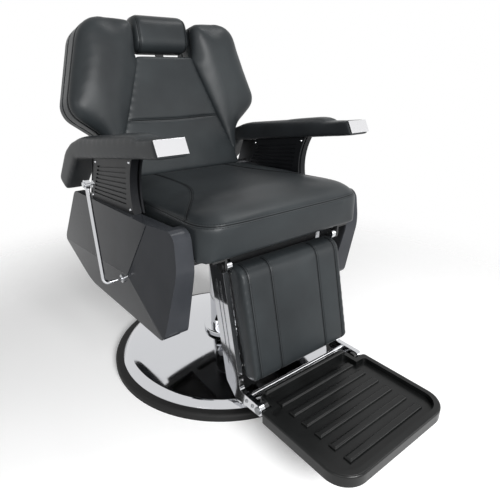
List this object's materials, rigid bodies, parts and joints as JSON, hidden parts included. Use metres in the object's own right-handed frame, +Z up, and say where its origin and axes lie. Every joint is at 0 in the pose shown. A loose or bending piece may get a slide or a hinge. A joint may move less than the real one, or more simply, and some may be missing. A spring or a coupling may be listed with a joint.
{
  "type": "barber chair",
  "caption": "Hydraulic reclining barber chair with winged back, sliding headrest, armrests, side panels, leg rest, fold-up footrest and round base.",
  "frame": {"origin": "on the floor, at the centre of the round base under the column", "axes": "+Z up, the sitter faces -Y, the sitter's right hand is at -X"},
  "size_m": [0.7485, 1.1265, 1.0037],
  "materials": {
    "chrome": "bright chrome plate",
    "painted_frame": "satin black powder coat",
    "zinc_steel": "zinc plated",
    "brass": "turned",
    "rubber": "moulded black rubber",
    "upholstery": "soft black vinyl leather with fine grain",
    "board": "plywood",
    "panel_plastic": "satin black moulded plastic",
    "polished_plate": "polished"
  },
  "bodies": {
    "base": {"base_plate": "painted_frame", "base_dish": "chrome", "rubber_edge": "rubber", "base_bolts": "zinc_steel", "pump_cylinder": "chrome", "column_collar": "chrome", "guide_bush": "brass", "pump_block": "chrome", "pedal_pin": "chrome"},
    "pedal": {"pump_pedal": "chrome", "pedal_grips": "rubber"},
    "lift": {"lift_piston": "chrome", "swivel_bearing": "zinc_steel"},
    "seat": {"seat_hub": "painted_frame", "mount_plate": "painted_frame", "seat_rails": "painted_frame", "cross_tube_front": "painted_frame", "cross_tube_rear": "painted_frame", "seat_cushion": "upholstery", "seat_board": "board", "side_panel_right": "panel_plastic", "side_panel_left": "panel_plastic", "lever_bush": "chrome", "side_plate_right": "zinc_steel", "side_plate_left": "zinc_steel", "outer_rib_cover_right": "panel_plastic", "outer_rib_cover_left": "panel_plastic", "inner_rib_cover_right": "panel_plastic", "inner_rib_cover_left": "panel_plastic", "cover_screws": "chrome", "armrest_right": "panel_plastic", "armrest_left": "panel_plastic", "arm_pad_right": "upholstery", "arm_pad_left": "upholstery", "arm_end_plate_right": "polished_plate", "arm_end_plate_left": "polished_plate", "leg_bracket": "painted_frame", "leg_hinge_pins": "chrome"},
    "lever": {"recline_lever": "chrome", "lever_bolt": "chrome"},
    "back": {"back_cushion": "upholstery", "back_wing_right": "upholstery", "back_wing_left": "upholstery", "back_shell": "upholstery", "back_frame": "painted_frame", "recline_shaft": "chrome", "pivot_spacers": "chrome", "shaft_nuts": "chrome", "headrest_sleeve": "painted_frame"},
    "headrest": {"headrest_cushion": "upholstery", "headrest_bar": "painted_frame"},
    "leg_rest": {"calf_bar_right": "chrome", "calf_bar_left": "chrome", "calf_cushion": "upholstery", "calf_board": "board", "calf_rods": "chrome", "foot_bolts": "chrome"},
    "footrest": {"footrest_tray": "panel_plastic", "footrest_plate": "painted_frame"}
  },
  "joints": [
    {"name": "lift", "type": "slide", "parent": "base", "child": "lift", "axis": [0, 0, 1], "range_m": [0, 0.15]},
    {"name": "swivel", "type": "hinge", "parent": "lift", "child": "seat", "pos_m": [0, 0, 0.33], "axis": [0, 0, 1], "continuous": true},
    {"name": "recline", "type": "hinge", "parent": "seat", "child": "back", "pos_m": [0, 0.25489, 0.5402], "axis": [-1, 0, 0], "range_deg": [0, 38]},
    {"name": "leg_lift", "type": "hinge", "parent": "seat", "child": "leg_rest", "pos_m": [0, -0.264, 0.431], "axis": [-1, 0, 0], "range_deg": [0, 53.2]},
    {"name": "foot_fold", "type": "hinge", "parent": "leg_rest", "child": "footrest", "pos_m": [0, -0.391, 0.096], "axis": [-1, 0, 0], "range_deg": [0, 80]},
    {"name": "headrest_slide", "type": "slide", "parent": "back", "child": "headrest", "axis": [0, 0.2227, 0.9749], "range_m": [0, 0.07]},
    {"name": "recline_lever", "type": "hinge", "parent": "seat", "child": "lever", "pos_m": [-0.384, -0.02, 0.352], "axis": [-1, 0, 0], "range_deg": [0, 25], "stiffness_Nm_per_rad": 2, "springref_deg": -5.73},
    {"name": "pump_pedal", "type": "hinge", "parent": "base", "child": "pedal", "pos_m": [-0.05961, -0.05961, 0.118], "axis": [0.7071, 0.7071, 0], "range_deg": [0, 12], "stiffness_Nm_per_rad": 12, "springref_deg": -17.19}
  ],
  "couplings": [
    {"joint": "leg_lift", "follows": "recline", "ratio": 1.4}
  ]
}
